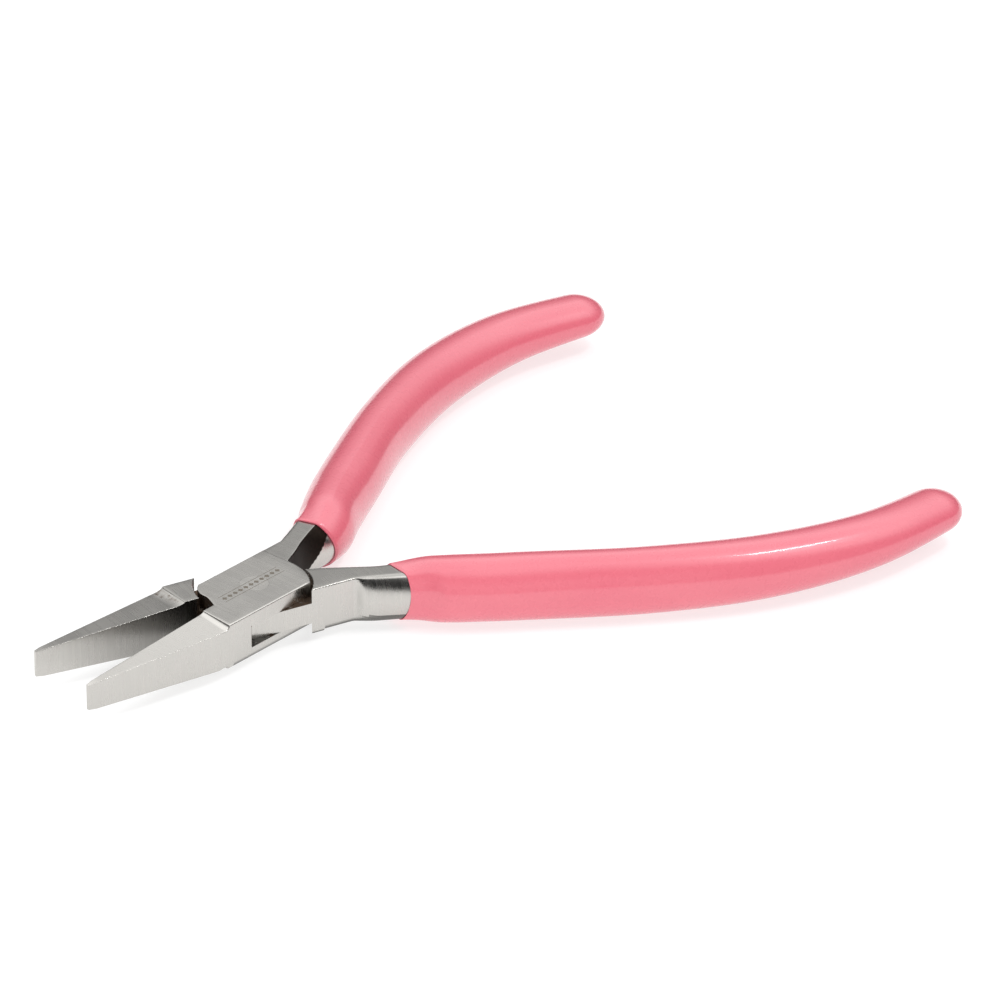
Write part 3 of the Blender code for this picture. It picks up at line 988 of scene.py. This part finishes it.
def ramp_node(tree, value, stops):
    made = tree.nodes.new("ShaderNodeValToRGB")
    tree.links.new(value, made.inputs[0])
    elements = made.color_ramp.elements
    while len(elements) < len(stops):
        elements.new(0.5)
    for element, (position, level) in zip(elements, stops):
        element.position, element.color = position, (level, level, level, 1)
    return made.outputs[0]


def studio_sky():
    """A bright ceiling over a dim room: dark low down and behind the camera."""
    world = bpy.data.worlds.new("studio")
    world.use_nodes = True
    tree = world.node_tree
    where = tree.nodes.new("ShaderNodeTexCoord").outputs["Generated"]
    parts = tree.nodes.new("ShaderNodeSeparateXYZ")
    tree.links.new(where, parts.inputs[0])
    height = ramp_node(tree, parts.outputs["Z"], SKY_HEIGHT)
    away = tree.nodes.new("ShaderNodeVectorMath")
    away.operation = "DOT_PRODUCT"
    tree.links.new(where, away.inputs[0])
    away.inputs[1].default_value = (math.cos(CAMERA_YAW) * math.sin(SKY_TILT),
                                    math.sin(CAMERA_YAW) * math.sin(SKY_TILT), math.cos(SKY_TILT))
    behind = ramp_node(tree, away.outputs["Value"], SKY_BEHIND)
    both = tree.nodes.new("ShaderNodeMath")
    both.operation = "MULTIPLY"
    tree.links.new(height, both.inputs[0])
    tree.links.new(behind, both.inputs[1])
    background = tree.nodes["Background"]
    tree.links.new(both.outputs[0], background.inputs["Color"])
    background.inputs["Strength"].default_value = SKY_STRENGTH
    bpy.context.scene.world = world


# ---------------------------------------------------------------- assembly

def dress(piece, material, body, slot, *nodes):
    """Give a piece its finish, hang it on the body it rides on, and hide the nodes it stands in for."""
    if material is not None:
        piece.data.materials.clear()
        piece.data.materials.append(material)
    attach(piece, body)
    if nodes:
        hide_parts(*nodes)


def main():
    steel = {half: ground_steel(half + "_ground_steel", turn) for half, turn in TURN.items()}
    for half, turn in TURN.items():
        dress(steel_half(half + "_steel", half), steel[half], BODY[half], "steel", half)
        dress(dipped_grip(half + "_vinyl", half), dipped_vinyl(half + "_dipped_vinyl", turn),
              BODY[half], "vinyl", half + "_grip")
    dress(pivot_rivet(), steel["box_half"], "box_side", "steel", "pivot_pin")
    dress(etched_mark(etched_finish("etched_steel")), None, "box_side", "steel")
    add_floor()
    add_camera()
    studio_sky()
    add_lights()
    bpy.context.scene.view_settings.view_transform = "Standard"


main()
